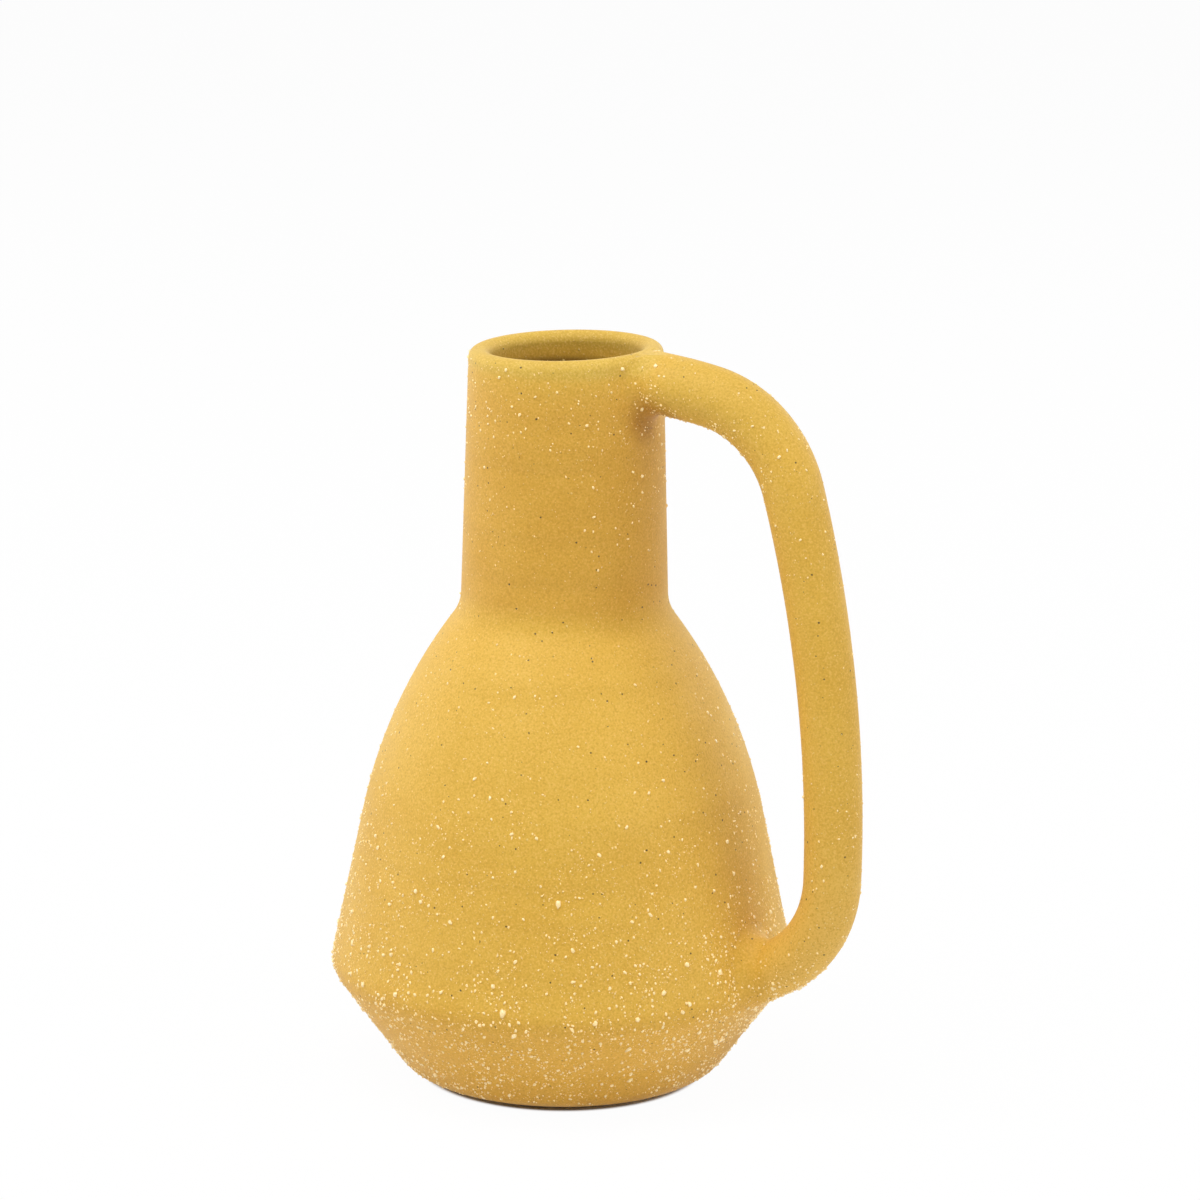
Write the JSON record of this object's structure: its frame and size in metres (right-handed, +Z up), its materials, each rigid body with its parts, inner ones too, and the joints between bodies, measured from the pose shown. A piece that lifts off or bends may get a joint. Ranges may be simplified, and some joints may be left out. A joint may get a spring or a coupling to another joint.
{
  "type": "one-handled stoneware jug vase",
  "caption": "Squat jug with a bevelled belly, a wide straight neck, a rounded slanting lip and a round coil handle from lip to belly corner, in matte speckled glaze.",
  "frame": {"origin": "on the jug's axis, at the plane of the foot ring's lower face, which is the surface the jug stands on", "axes": "+Z up along the jug's axis; +X from the axis toward the handle, which lies in the XZ plane; +Y completes the right-handed set"},
  "size_m": [0.184, 0.1494, 0.2413],
  "materials": {
    "glaze": "matte ochre yellow glaze over gritty clay, with raised cream grit and a few dark specks",
    "bare_clay": "unglazed fired stoneware, dry and fine-grained"
  },
  "bodies": {
    "root": {"belly": "glaze", "neck": "glaze", "neck_luting": "glaze", "handle": "glaze", "upper_luting": "glaze", "lower_luting": "glaze", "foot_ring": "bare_clay"}
  },
  "joints": []
}
